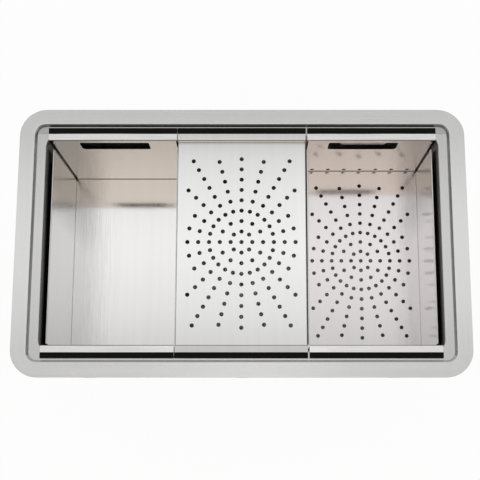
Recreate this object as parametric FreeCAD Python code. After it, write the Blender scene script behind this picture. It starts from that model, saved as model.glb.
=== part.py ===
import FreeCAD, Part
import math
import os

os.makedirs("parts", exist_ok=True)
Vec = FreeCAD.Vector
TINY = 1e-3

# A drop-in workstation kitchen sink with three accessories that hang side by side on its
# recessed ledge. Millimetres. X runs along the sink, +Y is its back, +Z is up. The origin is
# the centre of the rim, in the plane of the worktop that the rim seal lies on.

# Rim, step and ledge, pressed from one sheet
RIM_LENGTH = 830.0
RIM_WIDTH = 503.0
RIM_CORNER = 50.0
RIM_FLANGE = 27.5
RIM_EDGE_ROUND = 0.6
DECK_SHEET = 1.5
STEP_CORNER = 19.5
STEP_RUN = 4.0
STEP_DROP = 6.0
STEP_ROUND = 1.8
LEDGE_FLAT = 14.5
LEDGE_ROLL = 2.5
COLLAR_HEIGHT = 10.0

# Seal between the rim and the worktop
SEAL_THICKNESS = 1.5
SEAL_WIDTH = 12.0
SEAL_INSET = 3.0

# Bowl
BOWL_DEPTH = 250.0
BOWL_SHEET = 1.2
BOWL_CORNER = 20.0
BOWL_FLOOR_BEND = 10.0

# Worktop clamps: rails under the ledge, clips and screws
WORKTOP = 30.0
RAIL_SHEET = 1.5
RAIL_WIDTH = 13.0
RAIL_HEIGHT = 12.0
RAIL_LIP = 4.5
RAIL_END_GAP = 40.0
CLIP_SHEET = 2.0
CLIP_WIDTH = 22.0
CLIP_LIP_PLAY = 1.0
CLIP_ARM = 28.0
CLIP_ARM_DROP = 14.0
CLIP_END_INSET = 45.0
CLIPS_FRONT_AND_BACK = 3
CLIPS_AT_EACH_END = 2
SCREW_RADIUS = 3.0
SCREW_FROM_ARM_END = 8.0
SCREW_BELOW_ARM = 14.0
SCREW_HEAD_RADIUS = 5.5
SCREW_HEAD_HEIGHT = 4.0
SCREW_CUP_RADIUS = 5.0
SCREW_CUP_HEIGHT = 3.0
SCREW_PLAY = 0.05

# Sound-deadening pads, stuck to the outside of the bowl
PAD_THICKNESS = 2.5
PAD_TOP_GAP = 85.0
PAD_BOTTOM_GAP = 30.0
PAD_SIDE_GAP = 80.0
PAD_CORNER = 12.0
PAD_DRAIN_GAP = 12.0

# Drain: strainer, gasket, friction ring, lock nut and tailpiece, all on one axis
DRAIN_X = 0.0
DRAIN_Y = 0.0
STRAINER_FLANGE_RADIUS = 57.0
STRAINER_FLANGE_THICKNESS = 1.8
STRAINER_RECESS = 3.0
STRAINER_RECESS_GAP = 1.5
STRAINER_CUP_RADIUS = 44.5
STRAINER_SHEET = 1.5
STRAINER_CUP_DEPTH = 42.0
STRAINER_CONE_DEPTH = 14.0
STRAINER_HOLE_GAP = 0.8
OUTLET_RADIUS = 23.0
OUTLET_WALL = 3.5
OUTLET_LENGTH = 20.0
GASKET_THICKNESS = 3.0
GASKET_RADIUS = 58.0
FRICTION_RING_THICKNESS = 0.8
LOCKNUT_RADIUS = 55.0
LOCKNUT_HEIGHT = 9.0
LOCKNUT_LUGS = 4
LOCKNUT_LUG_SIZE = 9.0
LOCKNUT_LUG_REACH = 5.0
TAILPIECE_RADIUS = 19.05
TAILPIECE_WALL = 1.2
TAILPIECE_LENGTH = 66.0
TAILPIECE_FLANGE = 2.0
TAILPIECE_NECK_IN = 0.3
TAILPIECE_NECK_BELOW_NUT = 1.5
TAIL_WASHER_THICKNESS = 2.5
TAIL_NUT_WALL = 3.5
TAIL_NUT_HEIGHT = 20.0
TAIL_NUT_FLOOR = 3.0
THREAD_PLAY = 0.05

# Basket that lifts out of the strainer
BASKET_GAP = 3.0
BASKET_SHEET = 1.0
BASKET_HEIGHT = 34.0
BASKET_RIM = 2.0
BASKET_HOLE_RADIUS = 2.4
BASKET_HOLE_RINGS = ((14.0, 8), (22.0, 14), (30.0, 20))
BASKET_SIDE_HOLES = 24
STOPPER_RADIUS = 33.0
STOPPER_THICKNESS = 3.0
STOPPER_SEAT = 6.0
POST_RADIUS = 4.0
POST_HEIGHT = 46.0
KNOB_RADIUS = 12.0
KNOB_HEIGHT = 6.0
KNOB_UNDERCUT = 2.0
KNOB_BEVEL = 1.5

# Accessories: three equal widths that share the length of the bowl
END_GAP = 4.5
BIN_TO_TRAY_GAP = 1.0
TRAY_TO_COLANDER_GAP = 3.0
ACCESSORY_SHEET = 1.2
ACCESSORY_BEND = 2.0
GLIDE_WIDTH = 10.5
GLIDE_LIP = 1.5
GLIDE_GRIP = 6.0
GLIDE_END_PLAY = 3.5
GLIDE_ROUND = 0.8
BAND_WIDTH = 13.5
SIDE_WALL_DROP = 28.0
HEM_THICKNESS = 2.6
HEM_HEIGHT = 9.0
HEM_ROUND = 1.2
CORNER_NOTCH = 2.5
SLIT_AT_TOP = 5.5
SLIT_AT_FLOOR = 4.5
BIN_FLOOR_GAP = 47.0
COLANDER_FLOOR_GAP = 93.0
TRAY_RECESS = 10.0
TRAY_LIP = 12.0
TRAY_SHOULDER = 1.0
TRAY_LIP_END_GAP = 2.0

# Handle slots in the front and back walls of the bin and the colander
SLOT_LENGTH = 131.0
SLOT_HEIGHT = 30.0
SLOT_DROP = 10.5
SLOT_CORNER = 4.0
COLANDER_SLOT_OFFSET = -13.0
GRIP_LENGTH = 96.0
GRIP_TAPER = 8.0
GRIP_REACH = 2.4
GRIP_TURN_DOWN = 14.0

# Drain holes: rings about a centre, on rays that reach different rings
HOLE_RADIUS = 4.0
RING_PITCH = 20.0
FIRST_RING_HOLES = 8
SECOND_RING_HOLES = 12
RAYS = 24
LAST_RING_BY_RAY = (5, 5, 5, 7, 9, 8, 8)
FOOT_HOLES = 7
FOOT_HOLE_PITCH = 33.0
FOOT_HOLE_RISE = 9.5

# Levels
rim_top = SEAL_THICKNESS + DECK_SHEET
ledge_top = rim_top - STEP_DROP
ledge_underside = ledge_top - DECK_SHEET
collar_foot = ledge_underside - COLLAR_HEIGHT
bowl_floor = rim_top - BOWL_DEPTH
bowl_underside = bowl_floor - BOWL_SHEET
flange_underside = ledge_top + GLIDE_LIP
flange_top = flange_underside + ACCESSORY_SHEET

# Half sizes of the nested outlines, from the rim inwards
rim_half_x, rim_half_y = RIM_LENGTH / 2, RIM_WIDTH / 2
step_half_x, step_half_y = rim_half_x - RIM_FLANGE, rim_half_y - RIM_FLANGE
foot_half_x, foot_half_y = step_half_x - STEP_RUN, step_half_y - STEP_RUN
foot_corner = STEP_CORNER - STEP_RUN
ledge_width = LEDGE_FLAT + LEDGE_ROLL
bowl_half_x, bowl_half_y = foot_half_x - ledge_width, foot_half_y - ledge_width

# Accessories across the ledge: glide, bare band of the flange, then the wall
glide_outer = foot_half_y - GLIDE_END_PLAY
glide_inner = glide_outer - GLIDE_WIDTH
flange_outer = glide_inner + GLIDE_GRIP
wall_inner = glide_inner - BAND_WIDTH
wall_outer = wall_inner + ACCESSORY_SHEET

# Accessories along the bowl
gaps = 2 * END_GAP + BIN_TO_TRAY_GAP + TRAY_TO_COLANDER_GAP
accessory_length = (2 * bowl_half_x - gaps) / 3
bin_x = -bowl_half_x + END_GAP + accessory_length / 2
tray_x = bin_x + accessory_length + BIN_TO_TRAY_GAP
colander_x = tray_x + accessory_length + TRAY_TO_COLANDER_GAP


def box(x_low, x_high, y_low, y_high, z_low, z_high):
    corner = Vec(x_low, y_low, z_low)
    return Part.makeBox(x_high - x_low, y_high - y_low, z_high - z_low, corner)


def outline(half_x, half_y, corner, z):
    """A closed rectangle with round corners about the origin, at height z."""
    edges = []
    turn = corner * (1 - math.sqrt(0.5))
    for sx, sy in ((1, 1), (-1, 1), (-1, -1), (1, -1)):
        on_x_side = Vec(sx * half_x, sy * (half_y - corner), z)
        on_y_side = Vec(sx * (half_x - corner), sy * half_y, z)
        middle = Vec(sx * (half_x - turn), sy * (half_y - turn), z)
        start, end = (on_x_side, on_y_side) if sx * sy > 0 else (on_y_side, on_x_side)
        if edges:
            edges.append(Part.LineSegment(last, start).toShape())
        else:
            first = start
        edges.append(Part.Arc(start, middle, end).toShape())
        last = end
    edges.append(Part.LineSegment(last, first).toShape())
    return Part.Wire(edges)


def block(half_x, half_y, corner, z_low, z_high):
    face = Part.Face(outline(half_x, half_y, corner, z_low))
    return face.extrude(Vec(0, 0, z_high - z_low))


def round_edges(shape, radius, wanted):
    """Rounds the edges whose bounding box passes the test."""
    return shape.makeFillet(radius, [e for e in shape.Edges if wanted(e.BoundBox)])


def flat_within(half_x, half_y, z):
    """A test for edges that lie flat at height z, no further out than the half sizes."""

    def wanted(b):
        flat = b.ZLength < TINY and abs(b.ZMin - z) < TINY
        in_x = max(abs(b.XMin), abs(b.XMax)) < half_x + TINY
        return flat and in_x and max(abs(b.YMin), abs(b.YMax)) < half_y + TINY

    return wanted


def turned(profile):
    """Turns a closed profile of (radius, z) points about the drain's axis."""
    points = [Vec(r, 0, z) for r, z in profile]
    face = Part.Face(Part.makePolygon(points + points[:1]))
    solid = face.revolve(Vec(0, 0, 0), Vec(0, 0, 1), 360)
    solid.translate(Vec(DRAIN_X, DRAIN_Y, 0))
    return solid


def drain_disc(radius, z_low, z_high):
    return Part.makeCylinder(radius, z_high - z_low, Vec(DRAIN_X, DRAIN_Y, z_low))


def drain_ring(inner, outer, z_low, z_high):
    return turned([(inner, z_low), (outer, z_low), (outer, z_high), (inner, z_high)])


def save(node, shape):
    shape = shape.removeSplitter()
    for solid in shape.Solids:
        if not solid.isValid():
            raise ValueError(node + " holds a broken solid")
    shape.exportStep("parts/" + node + ".step")


# ---------------------------------------------------------------- rim, bowl and seal


def rim_deck():
    plate = block(rim_half_x, rim_half_y, RIM_CORNER, SEAL_THICKNESS, rim_top)
    plate = round_edges(plate, RIM_EDGE_ROUND, flat_within(rim_half_x, rim_half_y, rim_top))
    foot_x, foot_y = foot_half_x + DECK_SHEET, foot_half_y + DECK_SHEET
    top_x, top_y = step_half_x + DECK_SHEET, step_half_y + DECK_SHEET
    outer_foot = outline(foot_x, foot_y, foot_corner + DECK_SHEET, ledge_underside)
    outer_top = outline(top_x, top_y, STEP_CORNER + DECK_SHEET, rim_top - RIM_EDGE_ROUND)
    tub = Part.makeLoft([outer_foot, outer_top], True, True)
    inner_foot = outline(foot_half_x, foot_half_y, foot_corner, ledge_top)
    inner_top = outline(step_half_x, step_half_y, STEP_CORNER, rim_top)
    recess = Part.makeLoft([inner_foot, inner_top], True, True)
    collar_x, collar_y = bowl_half_x + DECK_SHEET, bowl_half_y + DECK_SHEET
    collar = block(collar_x, collar_y, BOWL_CORNER + DECK_SHEET, collar_foot, ledge_top)
    mouth = block(bowl_half_x, bowl_half_y, BOWL_CORNER, collar_foot, ledge_top)
    deck = plate.fuse([tub, collar]).cut(recess).cut(mouth)
    deck = round_edges(deck, LEDGE_ROLL, flat_within(bowl_half_x, bowl_half_y, ledge_top))
    return round_edges(deck, STEP_ROUND, flat_within(step_half_x, step_half_y, rim_top))


def rim_seal():
    half_x, half_y = rim_half_x - SEAL_INSET, rim_half_y - SEAL_INSET
    corner = RIM_CORNER - SEAL_INSET
    outer = block(half_x, half_y, corner, 0, SEAL_THICKNESS)
    inner = block(half_x - SEAL_WIDTH, half_y - SEAL_WIDTH, corner - SEAL_WIDTH, 0, SEAL_THICKNESS)
    return outer.cut(inner)


recess_radius = STRAINER_FLANGE_RADIUS + STRAINER_RECESS_GAP
recess_floor = bowl_floor - STRAINER_RECESS
recess_underside = recess_floor - BOWL_SHEET


def bowl_shell():
    outer_x, outer_y = bowl_half_x + BOWL_SHEET, bowl_half_y + BOWL_SHEET
    outer = block(outer_x, outer_y, BOWL_CORNER + BOWL_SHEET, bowl_underside, collar_foot)
    outer = round_edges(outer, BOWL_FLOOR_BEND + BOWL_SHEET, flat_within(outer_x, outer_y, bowl_underside))
    inner = block(bowl_half_x, bowl_half_y, BOWL_CORNER, bowl_floor, collar_foot)
    inner = round_edges(inner, BOWL_FLOOR_BEND, flat_within(bowl_half_x, bowl_half_y, bowl_floor))
    boss = drain_disc(recess_radius + BOWL_SHEET, recess_underside, bowl_underside)
    pocket = drain_disc(recess_radius, recess_floor, bowl_floor)
    hole = drain_disc(STRAINER_CUP_RADIUS + STRAINER_HOLE_GAP, recess_underside, recess_floor)
    return outer.fuse(boss).cut([inner, pocket, hole])


# ---------------------------------------------------------------- worktop clamps


def along_side(shape, side):
    """Turns a piece drawn on the +X side of the bowl, from its collar outwards, to a side."""
    distance = {"right": bowl_half_x, "left": bowl_half_x, "back": bowl_half_y, "front": bowl_half_y}
    angle = {"right": 0, "back": 90, "left": 180, "front": 270}
    placed = shape.copy()
    placed.translate(Vec(distance[side] + DECK_SHEET, 0, 0))
    placed.rotate(Vec(0, 0, 0), Vec(0, 0, 1), angle[side])
    return placed


def rail_half_length(side):
    half = bowl_half_y if side in ("right", "left") else bowl_half_x
    return half - RAIL_END_GAP


rail_foot = ledge_underside - RAIL_HEIGHT
lip_top = rail_foot + RAIL_LIP


def clip_rail(side):
    half = rail_half_length(side)
    section = [
        (0, ledge_underside),
        (RAIL_WIDTH, ledge_underside),
        (RAIL_WIDTH, ledge_underside - RAIL_SHEET),
        (RAIL_SHEET, ledge_underside - RAIL_SHEET),
        (RAIL_SHEET, rail_foot + RAIL_SHEET),
        (RAIL_WIDTH - RAIL_SHEET, rail_foot + RAIL_SHEET),
        (RAIL_WIDTH - RAIL_SHEET, lip_top),
        (RAIL_WIDTH, lip_top),
        (RAIL_WIDTH, rail_foot),
        (0, rail_foot),
    ]
    points = [Vec(u, -half, z) for u, z in section]
    bar = Part.Face(Part.makePolygon(points + points[:1])).extrude(Vec(0, 2 * half, 0))
    return along_side(bar, side)


arm_start = RAIL_WIDTH + CLIP_LIP_PLAY
arm_end = arm_start + CLIP_SHEET + CLIP_ARM
arm_top = -WORKTOP - CLIP_ARM_DROP
arm_underside = arm_top - CLIP_SHEET
screw_out = arm_end - SCREW_FROM_ARM_END


def clip_places(side):
    count = CLIPS_AT_EACH_END if side in ("right", "left") else CLIPS_FRONT_AND_BACK
    reach = rail_half_length(side) - CLIP_END_INSET
    return [-reach + 2 * reach * i / (count - 1) for i in range(count)]


def clip():
    """A hook over the rail's lip, a leg down past the worktop and an arm out under it."""
    half = CLIP_WIDTH / 2
    hook_inner = RAIL_WIDTH - RAIL_SHEET - CLIP_LIP_PLAY - CLIP_SHEET
    hook_top = lip_top + CLIP_SHEET
    tab_foot = rail_foot + RAIL_SHEET + CLIP_LIP_PLAY
    tab = box(hook_inner, hook_inner + CLIP_SHEET, -half, half, tab_foot, hook_top)
    bridge = box(hook_inner, arm_start + CLIP_SHEET, -half, half, lip_top, hook_top)
    leg = box(arm_start, arm_start + CLIP_SHEET, -half, half, arm_underside, hook_top)
    arm = box(arm_start, arm_end, -half, half, arm_underside, arm_top)
    hole = Part.makeCylinder(SCREW_RADIUS + SCREW_PLAY, CLIP_SHEET, Vec(screw_out, 0, arm_underside))
    return tab.fuse([bridge, leg, arm]).cut(hole)


def clip_screw():
    """A screw through the arm whose cup presses up on the worktop."""
    tip = -WORKTOP
    head_top = arm_underside - SCREW_BELOW_ARM
    shank_length = tip - SCREW_CUP_HEIGHT - head_top
    shank = Part.makeCylinder(SCREW_RADIUS, shank_length, Vec(screw_out, 0, head_top))
    cup_base = Vec(screw_out, 0, tip - SCREW_CUP_HEIGHT)
    cup = Part.makeCone(SCREW_RADIUS, SCREW_CUP_RADIUS, SCREW_CUP_HEIGHT, cup_base)
    corners = [math.radians(60 * i) for i in range(6)]
    z = head_top - SCREW_HEAD_HEIGHT
    hexagon = [Vec(math.cos(a), math.sin(a), 0) * SCREW_HEAD_RADIUS for a in corners]
    head = Part.Face(Part.makePolygon(hexagon + hexagon[:1])).extrude(Vec(0, 0, SCREW_HEAD_HEIGHT))
    head.translate(Vec(screw_out, 0, z))
    return shank.fuse([cup, head])


def at_every_clip(piece):
    copies = []
    for side in ("front", "back", "left", "right"):
        for place in clip_places(side):
            copy = piece.copy()
            copy.translate(Vec(0, place, 0))
            copies.append(along_side(copy, side))
    return Part.makeCompound(copies)


# ---------------------------------------------------------------- sound pads


def wall_pad(side):
    short = side in ("right", "left")
    half = (bowl_half_y if short else bowl_half_x) - PAD_SIDE_GAP
    z_low, z_high = bowl_floor + PAD_BOTTOM_GAP, rim_top - PAD_TOP_GAP
    pad = box(0, PAD_THICKNESS, -half, half, z_low, z_high)
    pad = round_edges(pad, PAD_CORNER, lambda b: b.YLength < TINY and b.ZLength < TINY)
    pad.translate(Vec(BOWL_SHEET - DECK_SHEET, 0, 0))
    return along_side(pad, side)


def floor_pad():
    half_x, half_y = bowl_half_x - PAD_SIDE_GAP, bowl_half_y - PAD_SIDE_GAP
    pad = block(half_x, half_y, PAD_CORNER, bowl_underside - PAD_THICKNESS, bowl_underside)
    base = Vec(DRAIN_X, DRAIN_Y, bowl_underside - PAD_THICKNESS)
    radius = max(recess_radius + BOWL_SHEET, GASKET_RADIUS, LOCKNUT_RADIUS + LOCKNUT_LUG_REACH)
    return pad.cut(Part.makeCylinder(radius + PAD_DRAIN_GAP, PAD_THICKNESS, base))


# ---------------------------------------------------------------- drain

flange_upper = recess_floor + STRAINER_FLANGE_THICKNESS
cup_inner = STRAINER_CUP_RADIUS - STRAINER_SHEET
cup_floor = flange_upper - STRAINER_CUP_DEPTH
seat_radius = STOPPER_RADIUS - STOPPER_SEAT
cone_foot = cup_floor - STRAINER_CONE_DEPTH
outlet_foot = cone_foot - OUTLET_LENGTH
outlet_bore = OUTLET_RADIUS - OUTLET_WALL


def strainer_body():
    """A flange in the bowl's recess, a cup with a seat for the stopper, and a threaded outlet."""
    return turned(
        [
            (cup_inner, flange_upper),
            (STRAINER_FLANGE_RADIUS, flange_upper),
            (STRAINER_FLANGE_RADIUS, recess_floor),
            (STRAINER_CUP_RADIUS, recess_floor),
            (STRAINER_CUP_RADIUS, cup_floor - STRAINER_SHEET),
            (OUTLET_RADIUS + STRAINER_SHEET, cone_foot),
            (OUTLET_RADIUS, cone_foot),
            (OUTLET_RADIUS, outlet_foot),
            (outlet_bore, outlet_foot),
            (outlet_bore, cone_foot + STRAINER_SHEET),
            (seat_radius, cup_floor),
            (cup_inner, cup_floor),
        ]
    )


gasket_underside = recess_underside - GASKET_THICKNESS
friction_underside = gasket_underside - FRICTION_RING_THICKNESS
locknut_underside = friction_underside - LOCKNUT_HEIGHT
nut_bore = STRAINER_CUP_RADIUS + THREAD_PLAY


def strainer_locknut():
    ring = drain_ring(nut_bore, LOCKNUT_RADIUS, locknut_underside, friction_underside)
    lugs = []
    half = LOCKNUT_LUG_SIZE / 2
    reach = LOCKNUT_RADIUS + LOCKNUT_LUG_REACH
    for i in range(LOCKNUT_LUGS):
        lug = box(nut_bore + half, reach, -half, half, locknut_underside, friction_underside)
        lug.rotate(Vec(0, 0, 0), Vec(0, 0, 1), 45 + 360 * i / LOCKNUT_LUGS)
        lug.translate(Vec(DRAIN_X, DRAIN_Y, 0))
        lugs.append(lug)
    return ring.fuse(lugs)


washer_underside = outlet_foot - TAIL_WASHER_THICKNESS
tail_flange_underside = washer_underside - TAILPIECE_FLANGE
tail_nut_foot = tail_flange_underside - TAIL_NUT_FLOOR
tailpiece_foot = washer_underside - TAILPIECE_LENGTH
tailpiece_bore = TAILPIECE_RADIUS - TAILPIECE_WALL


def tailpiece():
    """A flanged pipe, a little slimmer where its nut turns on it."""
    neck = TAILPIECE_RADIUS - TAILPIECE_NECK_IN
    return turned(
        [
            (tailpiece_bore, washer_underside),
            (OUTLET_RADIUS - THREAD_PLAY, washer_underside),
            (OUTLET_RADIUS - THREAD_PLAY, tail_flange_underside),
            (neck, tail_flange_underside),
            (neck, tail_nut_foot - TAILPIECE_NECK_BELOW_NUT),
            (TAILPIECE_RADIUS, tail_nut_foot - TAILPIECE_NECK_BELOW_NUT),
            (TAILPIECE_RADIUS, tailpiece_foot),
            (tailpiece_bore, tailpiece_foot),
        ]
    )


def tailpiece_nut():
    """An eight-sided nut that draws the tailpiece's flange up against the outlet."""
    high = tail_nut_foot + TAIL_NUT_HEIGHT
    bore = OUTLET_RADIUS + THREAD_PLAY
    radius = (bore + TAIL_NUT_WALL) / math.cos(math.pi / 8)
    corners = [math.pi / 8 + math.pi / 4 * i for i in range(8)]
    octagon = [Vec(math.cos(a), math.sin(a), 0) * radius for a in corners]
    body = Part.Face(Part.makePolygon(octagon + octagon[:1])).extrude(Vec(0, 0, TAIL_NUT_HEIGHT))
    body.translate(Vec(DRAIN_X, DRAIN_Y, tail_nut_foot))
    above = drain_disc(bore, tail_flange_underside, high)
    through = drain_disc(TAILPIECE_RADIUS + THREAD_PLAY, tail_nut_foot, tail_flange_underside)
    return body.cut([above, through])


basket_radius = cup_inner - BASKET_GAP
basket_floor = cup_floor + STOPPER_THICKNESS
basket_top = basket_floor + BASKET_HEIGHT


def strainer_basket():
    inner = basket_radius - BASKET_SHEET
    middle = (basket_floor + basket_top) / 2
    cup = turned(
        [
            (POST_RADIUS, basket_floor),
            (basket_radius, basket_floor),
            (basket_radius, basket_top - BASKET_RIM),
            (basket_radius + BASKET_RIM, basket_top - BASKET_SHEET),
            (basket_radius + BASKET_RIM, basket_top),
            (inner, basket_top),
            (inner, basket_floor + BASKET_SHEET),
            (POST_RADIUS, basket_floor + BASKET_SHEET),
        ]
    )
    holes = []
    for ring_radius, count in BASKET_HOLE_RINGS:
        for i in range(count):
            a = 2 * math.pi * i / count
            centre = Vec(DRAIN_X, DRAIN_Y, basket_floor) + Vec(math.cos(a), math.sin(a), 0) * ring_radius
            holes.append(Part.makeCylinder(BASKET_HOLE_RADIUS, BASKET_SHEET, centre))
    for i in range(BASKET_SIDE_HOLES):
        a = 2 * math.pi * i / BASKET_SIDE_HOLES
        out = Vec(math.cos(a), math.sin(a), 0)
        start = Vec(DRAIN_X, DRAIN_Y, middle) + out * POST_RADIUS
        holes.append(Part.makeCylinder(BASKET_HOLE_RADIUS, basket_radius, start, out))
    return cup.cut(holes)


def basket_stopper():
    """The rubber disc under the basket that closes the drain on the strainer's seat."""
    return drain_ring(POST_RADIUS, STOPPER_RADIUS, cup_floor, basket_floor)


def basket_post():
    top = basket_floor + POST_HEIGHT
    waist = top - KNOB_HEIGHT
    return turned(
        [
            (0, cup_floor),
            (POST_RADIUS, cup_floor),
            (POST_RADIUS, waist),
            (KNOB_RADIUS, waist + KNOB_UNDERCUT),
            (KNOB_RADIUS, top - KNOB_BEVEL),
            (KNOB_RADIUS - KNOB_BEVEL, top),
            (0, top),
        ]
    )


# ---------------------------------------------------------------- accessories


def glide(x_centre, side):
    """A plastic channel on the flange's edge that runs on the ledge; side is 1 at the back."""
    top = flange_top + GLIDE_LIP
    half = accessory_length / 2
    bar = box(-half, half, glide_inner, glide_outer, ledge_top, top)
    bar = round_edges(
        bar,
        GLIDE_ROUND,
        lambda b: b.YMin > glide_outer - TINY and b.ZMin > top - TINY and b.XLength > half,
    )
    groove = box(-half, half, glide_inner, flange_outer, flange_underside, flange_top)
    bar = bar.cut(groove)
    if side < 0:
        bar.rotate(Vec(0, 0, 0), Vec(0, 0, 1), 180)
    bar.translate(Vec(x_centre, 0, 0))
    return bar


def hanging_sheet(floor_top):
    """The sheet folded across the bowl: flange, wall, floor, wall, flange, about x = 0."""
    half = accessory_length / 2
    underside = floor_top - ACCESSORY_SHEET
    back_half = [
        (wall_inner, floor_top),
        (wall_inner, flange_top),
        (flange_outer, flange_top),
        (flange_outer, flange_underside),
        (wall_outer, flange_underside),
        (wall_outer, underside),
    ]
    section = back_half + [(-y, z) for y, z in reversed(back_half)]
    points = [Vec(-half, y, z) for y, z in section]
    sheet = Part.Face(Part.makePolygon(points + points[:1])).extrude(Vec(2 * half, 0, 0))

    def along(y, z):
        return lambda b: b.XLength > half and abs(abs(b.YMin) - y) < TINY and abs(b.ZMin - z) < TINY

    inside_bend = ACCESSORY_BEND - ACCESSORY_SHEET
    sheet = round_edges(sheet, ACCESSORY_BEND, along(wall_inner, flange_top))
    sheet = round_edges(sheet, inside_bend, along(wall_outer, flange_underside))
    sheet = round_edges(sheet, ACCESSORY_BEND, along(wall_outer, underside))
    return round_edges(sheet, inside_bend, along(wall_inner, floor_top))


side_outer = accessory_length / 2


def side_wall(floor_top):
    """A wall folded up from the floor, lower than the flange, with a hemmed top edge."""
    top = flange_top - SIDE_WALL_DROP
    low = floor_top - ACCESSORY_SHEET
    hem_foot = top - HEM_HEIGHT
    at_floor, at_top = wall_inner - SLIT_AT_FLOOR, wall_inner - SLIT_AT_TOP
    section = [
        (side_outer - ACCESSORY_SHEET, low),
        (side_outer, low),
        (side_outer, top),
        (side_outer - HEM_THICKNESS, top),
        (side_outer - HEM_THICKNESS, hem_foot),
        (side_outer - ACCESSORY_SHEET, hem_foot),
    ]
    points = [Vec(x, -at_floor, z) for x, z in section]
    wall = Part.Face(Part.makePolygon(points + points[:1])).extrude(Vec(0, 2 * at_floor, 0))
    wall = round_edges(
        wall, HEM_ROUND, lambda b: b.YLength > at_floor and b.ZLength < TINY and abs(b.ZMin - top) < TINY
    )
    ends = [Vec(0, -at_floor, low), Vec(0, at_floor, low), Vec(0, at_top, top), Vec(0, -at_top, top)]
    return wall.common(Part.Face(Part.makePolygon(ends + ends[:1])).extrude(Vec(side_outer, 0, 0)))


def slot_cutter(x_offset):
    """A long hole with round corners, straight through both the front and the back wall."""
    half_z = SLOT_HEIGHT / 2
    middle = flange_top - SLOT_DROP - half_z
    wire = outline(SLOT_LENGTH / 2, half_z, SLOT_CORNER, 0)
    cutter = Part.Face(wire).extrude(Vec(0, 0, 2 * wall_outer))
    cutter.rotate(Vec(0, 0, 0), Vec(1, 0, 0), 90)
    cutter.translate(Vec(x_offset, wall_outer, middle))
    return cutter


def grip(x_offset, side):
    """A tab left at the slot's top edge, folded outwards and down so that fingers meet no edge."""
    top = flange_top - SLOT_DROP + ACCESSORY_SHEET
    half = GRIP_LENGTH / 2
    reach = wall_inner + GRIP_REACH + ACCESSORY_SHEET
    shelf = box(-half, half, wall_inner, reach, top - ACCESSORY_SHEET, top)
    low = top - GRIP_TURN_DOWN
    points = [
        Vec(-half, reach - ACCESSORY_SHEET, top),
        Vec(half, reach - ACCESSORY_SHEET, top),
        Vec(half - GRIP_TAPER, reach - ACCESSORY_SHEET, low),
        Vec(-half + GRIP_TAPER, reach - ACCESSORY_SHEET, low),
    ]
    drop = Part.Face(Part.makePolygon(points + points[:1])).extrude(Vec(0, ACCESSORY_SHEET, 0))
    tab = shelf.fuse(drop)
    if side < 0:
        tab = tab.mirror(Vec(0, 0, 0), Vec(0, 1, 0))
    tab.translate(Vec(x_offset, 0, 0))
    return tab


def hole_centres():
    """Centres of the ray pattern about the origin."""
    centres = [(0.0, 0.0)]
    step = 360 / RAYS
    for ring in range(1, max(LAST_RING_BY_RAY) + 1):
        count = {1: FIRST_RING_HOLES, 2: SECOND_RING_HOLES}.get(ring, RAYS)
        for i in range(count):
            angle = 360 * i / count
            folded = min(angle % 180, 180 - angle % 180)
            if ring > 2 and ring > LAST_RING_BY_RAY[round(folded / step)]:
                continue
            a = math.radians(angle)
            centres.append((ring * RING_PITCH * math.cos(a), ring * RING_PITCH * math.sin(a)))
    return centres


def pattern_cutters(sheet_top):
    low = sheet_top - ACCESSORY_SHEET
    return [Part.makeCylinder(HOLE_RADIUS, ACCESSORY_SHEET, Vec(x, y, low)) for x, y in hole_centres()]


def foot_hole_cutters(floor_top):
    first = -FOOT_HOLE_PITCH * (FOOT_HOLES - 1) / 2
    z = floor_top + FOOT_HOLE_RISE
    cutters = []
    for i in range(FOOT_HOLES):
        start = Vec(first + i * FOOT_HOLE_PITCH, -wall_outer, z)
        cutters.append(Part.makeCylinder(HOLE_RADIUS, 2 * wall_outer, start, Vec(0, 1, 0)))
    return cutters


def hanging_box(floor_top):
    """A deep accessory: the hanging sheet with two side walls, and corners cut open below the flange."""
    body = hanging_sheet(floor_top)
    low = floor_top - ACCESSORY_SHEET
    notch_top = flange_underside - ACCESSORY_BEND
    at_floor = wall_inner - SLIT_AT_FLOOR
    wall = side_wall(floor_top)
    walls = [wall, wall.mirror(Vec(0, 0, 0), Vec(1, 0, 0))]
    waste = []
    for x_low, x_high in ((side_outer - CORNER_NOTCH, side_outer), (-side_outer, CORNER_NOTCH - side_outer)):
        for y_low, y_high in ((at_floor, wall_outer), (-wall_outer, -at_floor)):
            waste.append(box(x_low, x_high, y_low, y_high, low, notch_top))
    body = body.cut(waste).fuse(walls).removeSplitter()

    def along(x, z):
        return lambda b: b.YLength > at_floor and abs(abs(b.XMin) - x) < TINY and abs(b.ZMin - z) < TINY

    body = round_edges(body, ACCESSORY_BEND, along(side_outer, low))
    return round_edges(body, ACCESSORY_BEND - ACCESSORY_SHEET, along(side_outer - ACCESSORY_SHEET, floor_top))


def bin_shell():
    floor_top = bowl_floor + BIN_FLOOR_GAP
    body = hanging_box(floor_top).cut(slot_cutter(0))
    body.translate(Vec(bin_x, 0, 0))
    return body


def colander_shell():
    floor_top = bowl_floor + COLANDER_FLOOR_GAP
    body = hanging_box(floor_top).cut(slot_cutter(COLANDER_SLOT_OFFSET))
    body = body.fuse([grip(COLANDER_SLOT_OFFSET, 1), grip(COLANDER_SLOT_OFFSET, -1)])
    body = body.cut(pattern_cutters(floor_top) + foot_hole_cutters(floor_top))
    body.translate(Vec(colander_x, 0, 0))
    return body


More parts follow.
